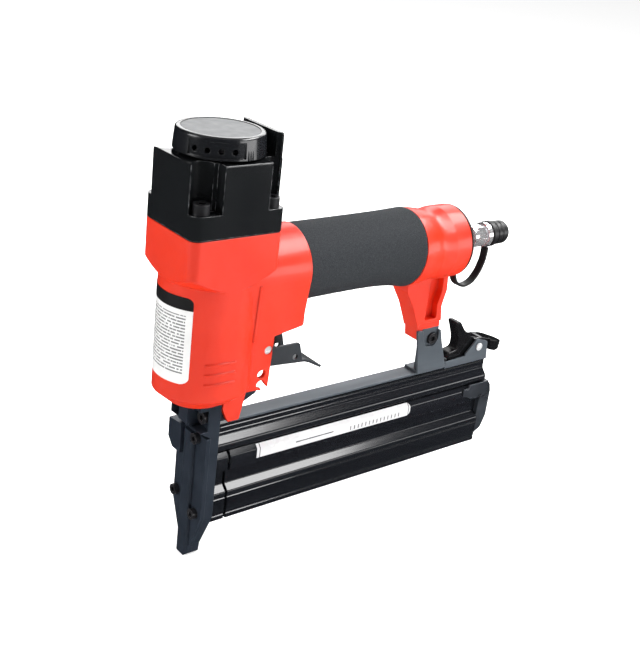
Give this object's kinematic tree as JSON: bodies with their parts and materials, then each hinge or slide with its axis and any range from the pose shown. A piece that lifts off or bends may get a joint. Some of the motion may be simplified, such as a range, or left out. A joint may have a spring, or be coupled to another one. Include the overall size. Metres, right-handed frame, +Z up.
{
  "type": "pneumatic brad nailer",
  "caption": "Compressed-air brad nailer with a round cylinder housing, pistol handle on an air plug, sheet trigger, long sliding magazine below and a rear latch.",
  "frame": {"origin": "bottom face of the nose tip, on the driver's axis", "axes": "+Z up the driver's axis to the head, +X back along the handle and magazine to the air plug, +Y to the tool's left side seen from the rear"},
  "size_m": [0.2628, 0.0484, 0.2453],
  "materials": {
    "body_red": "gloss orange-red powder coat",
    "head_black": "gloss black paint",
    "deflector_black": "satin black moulded plastic",
    "pad_grey": "matte grey disc",
    "screw_black": "black oxide",
    "nose_steel": "dark blue-grey hardened steel",
    "plate_steel": "dark zinc plated sheet",
    "magazine_black": "gloss black anodised extrusion",
    "latch_black": "gloss black",
    "trigger_grey": "dark grey stamped sheet",
    "grip_rubber": "matte speckled rubber",
    "plug_chrome": "bright plated",
    "cap_rubber": "soft black",
    "label_white": "printed film",
    "seal_rubber": "black nitrile",
    "bare_aluminium": "machined",
    "hard_steel": "ground",
    "valve_plastic": "black acetal",
    "valve_brass": "turned"
  },
  "bodies": {
    "tool": {"housing": "body_red", "head_gasket": "seal_rubber", "head_cap": "head_black", "head_cap_screws": "screw_black", "head_valve_spring": "hard_steel", "deflector_screw": "screw_black", "cylinder_sleeve": "bare_aluminium", "sleeve_o_rings": "seal_rubber", "bumper": "seal_rubber", "nose_block": "nose_steel", "nose_front_plate": "nose_steel", "nose_screws": "screw_black", "mount_screws": "screw_black", "magazine_rail": "magazine_black", "magazine_front_guide": "magazine_black", "magazine_top_plate": "plate_steel", "top_plate_screw": "screw_black", "rear_bracket": "plate_steel", "strut_foot": "plate_steel", "strut_screw": "screw_black", "latch_pin": "hard_steel", "trigger_pin": "hard_steel", "valve_body": "valve_plastic", "valve_plug": "valve_plastic", "valve_seal": "seal_rubber", "valve_spring": "hard_steel", "grip_sleeve": "grip_rubber", "end_cap": "body_red", "end_cap_gasket": "seal_rubber", "end_cap_ring": "seal_rubber", "air_plug": "plug_chrome", "dust_cap_strap": "cap_rubber", "body_label": "label_white"},
    "head_valve": {"head_valve": "valve_plastic", "head_valve_ring": "seal_rubber"},
    "deflector": {"deflector": "deflector_black", "deflector_pad": "pad_grey"},
    "piston": {"piston": "bare_aluminium", "piston_ring": "seal_rubber", "driver_blade": "hard_steel"},
    "magazine": {"sliding_magazine": "magazine_black", "magazine_end_cap": "plate_steel", "end_cap_rivets": "plate_steel", "magazine_label": "label_white", "pusher_rod": "hard_steel", "pusher_spring": "hard_steel"},
    "pusher": {"pusher": "hard_steel"},
    "latch": {"latch_lever": "latch_black"},
    "trigger": {"trigger": "trigger_grey"},
    "valve_stem": {"valve_stem": "valve_brass"},
    "dust_cap": {"dust_cap": "cap_rubber"}
  },
  "joints": [
    {"name": "head_valve_lift", "type": "slide", "parent": "tool", "child": "head_valve", "axis": [0, 0, 1], "range_m": [0, 0.004], "stiffness_N_per_m": 800, "springref_m": -0.005, "deforming": ["head_valve_spring"]},
    {"name": "deflector_turn", "type": "hinge", "parent": "tool", "child": "deflector", "pos_m": [0, 0, 0.239], "axis": [0, 0, 1], "continuous": true},
    {"name": "piston_stroke", "type": "slide", "parent": "tool", "child": "piston", "axis": [0, 0, -1], "range_m": [0, 0.078]},
    {"name": "magazine_slide", "type": "slide", "parent": "tool", "child": "magazine", "axis": [1, 0, 0], "range_m": [0, 0.11]},
    {"name": "pusher_slide", "type": "slide", "parent": "magazine", "child": "pusher", "axis": [1, 0, 0], "range_m": [0, 0.13], "stiffness_N_per_m": 15, "springref_m": -0.1, "deforming": ["pusher_spring"]},
    {"name": "latch_turn", "type": "hinge", "parent": "tool", "child": "latch", "pos_m": [0.2103, 0, 0.0915], "axis": [0, 1, 0], "range_deg": [0, 14], "stiffness_Nm_per_rad": 0.5, "springref_deg": -17.19},
    {"name": "trigger_pull", "type": "hinge", "parent": "tool", "child": "trigger", "pos_m": [0.0299, 0, 0.1274], "axis": [0, -1, 0], "range_deg": [0, 12], "stiffness_Nm_per_rad": 0.5, "springref_deg": -17.19},
    {"name": "valve_stem_lift", "type": "slide", "parent": "tool", "child": "valve_stem", "axis": [0, 0, 1], "range_m": [0, 0.0036], "stiffness_N_per_m": 8, "springref_m": -0.004, "deforming": ["valve_spring"]},
    {"name": "dust_cap_pull", "type": "slide", "parent": "tool", "child": "dust_cap", "axis": [1, 0, 0], "range_m": [0, 0.045], "deforming": ["dust_cap_strap"]}
  ],
  "couplings": [
    {"joint": "valve_stem_lift", "follows": "trigger_pull", "m_per_rad": 0.0151}
  ]
}
